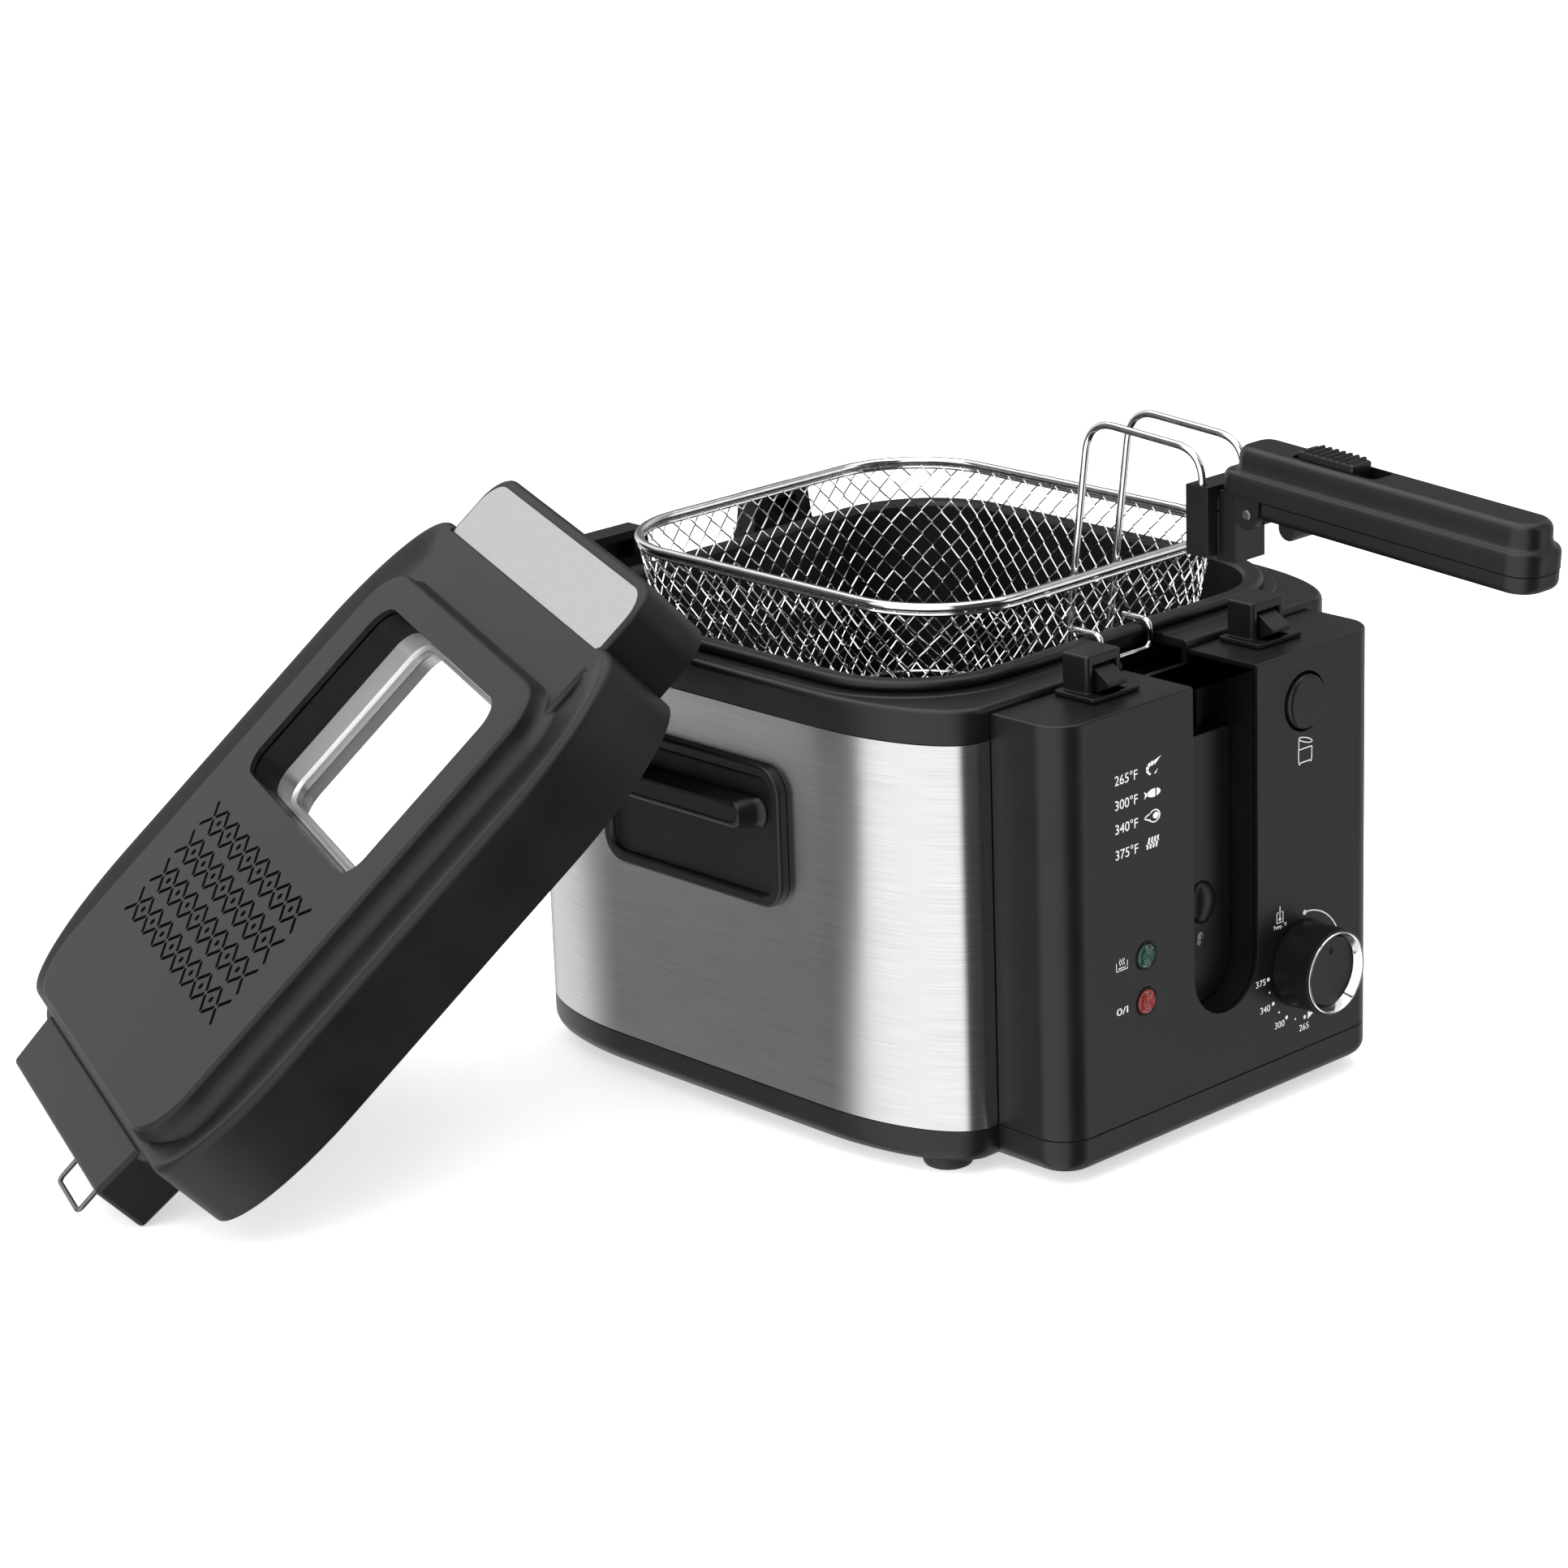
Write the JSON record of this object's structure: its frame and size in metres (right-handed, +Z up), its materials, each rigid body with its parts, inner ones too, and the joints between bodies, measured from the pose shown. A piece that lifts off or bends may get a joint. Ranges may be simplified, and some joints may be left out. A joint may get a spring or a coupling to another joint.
{
  "type": "deep fryer",
  "caption": "Household deep fryer with a steel body, front controls, a wire basket hooked up to drain and its windowed lid leaning on the left side.",
  "frame": {"origin": "on the table, under the middle of the box that holds the fryer with its basket handle and leaning lid", "axes": "+Z up, front with the controls towards -Y, +X to the right seen from the front"},
  "size_m": [0.5702, 0.637, 0.3212],
  "materials": {
    "housing_black": "satin moulded plastic",
    "lid_black": "fine matt grain",
    "brushed_steel": "brushed along its length",
    "plain_steel": "rolled sheet",
    "chrome": "polished plating",
    "pale_aluminium": "fine brushed",
    "non_stick": "textured non-stick coat",
    "rubber": "matt",
    "glass": "clear",
    "green_lens": "translucent",
    "red_lens": "translucent",
    "ceramic": "glazed",
    "filter_felt": "loose felt"
  },
  "bodies": {
    "fryer": {"base_tray": "housing_black", "foot_front_left": "rubber", "foot_front_right": "rubber", "foot_back_left": "rubber", "foot_back_right": "rubber", "side_wrap": "brushed_steel", "heat_pan": "plain_steel", "top_deck": "housing_black", "control_housing": "housing_black", "slot_liner": "housing_black", "slot_panel": "housing_black", "slot_screw": "plain_steel", "cord_gland": "rubber", "heating_element": "plain_steel", "thermostat": "ceramic", "terminal_block": "ceramic", "thermal_cutout": "plain_steel", "lamp_lens_green": "green_lens", "lamp_body_green": "ceramic", "lamp_lens_red": "red_lens", "lamp_body_red": "ceramic", "latch_post_left": "housing_black", "latch_post_right": "housing_black", "hinge_post_left": "housing_black", "hinge_post_right": "housing_black", "carry_plate_left": "housing_black", "carry_plate_right": "housing_black", "carry_grip_left": "housing_black", "carry_grip_right": "housing_black"},
    "lid_release": {"release_button": "housing_black", "latch_slide": "housing_black", "latch_hook_left": "housing_black", "latch_hook_right": "housing_black"},
    "knob": {"knob_shaft": "plain_steel", "knob_barrel": "housing_black", "knob_ring": "chrome", "knob_face": "housing_black"},
    "pot": {"oil_pot": "non_stick"},
    "basket": {"basket_rim": "chrome", "basket_mesh": "chrome", "handle_wire_left": "chrome", "handle_wire_right": "chrome", "drain_hook": "chrome", "handle_bracket": "housing_black"},
    "handle": {"handle_upper": "housing_black", "handle_lower": "housing_black", "pivot_pin": "plain_steel"},
    "handle_lock": {"slide_button": "housing_black"},
    "lid": {"lid_shell": "lid_black", "lid_plate": "pale_aluminium", "lid_liner": "pale_aluminium", "window_glass": "glass", "window_gasket": "pale_aluminium", "odour_filter": "filter_felt", "lid_hinge_block": "lid_black", "lid_bail": "chrome"}
  },
  "joints": [
    {"name": "release_press", "type": "slide", "parent": "fryer", "child": "lid_release", "axis": [0, 1, 0], "range_m": [0, 0.0035], "stiffness_N_per_m": 600},
    {"name": "knob_turn", "type": "hinge", "parent": "fryer", "child": "knob", "pos_m": [0.181, -0.1528, 0.0642], "axis": [0, 1, 0], "range_deg": [0, 280]},
    {"name": "pot_lift", "type": "slide", "parent": "fryer", "child": "pot", "axis": [0, 0, 1], "range_m": [0, 0.015]},
    {"name": "basket_lift", "type": "slide", "parent": "pot", "child": "basket", "axis": [0, 0, 1], "range_m": [0, 0.12]},
    {"name": "handle_fold", "type": "hinge", "parent": "basket", "child": "handle", "pos_m": [0.1301, -0.1698, 0.29], "axis": [1, 0, 0], "range_deg": [0, 84]},
    {"name": "lock_slide", "type": "slide", "parent": "handle", "child": "handle_lock", "axis": [0, -0.9976, -0.0698], "range_m": [0, 0.009], "stiffness_N_per_m": 300},
    {"name": "lid_lift", "type": "slide", "parent": "fryer", "child": "lid", "axis": [-0.644, 0.2355, 0.7279], "range_m": [0, 0.16]}
  ]
}
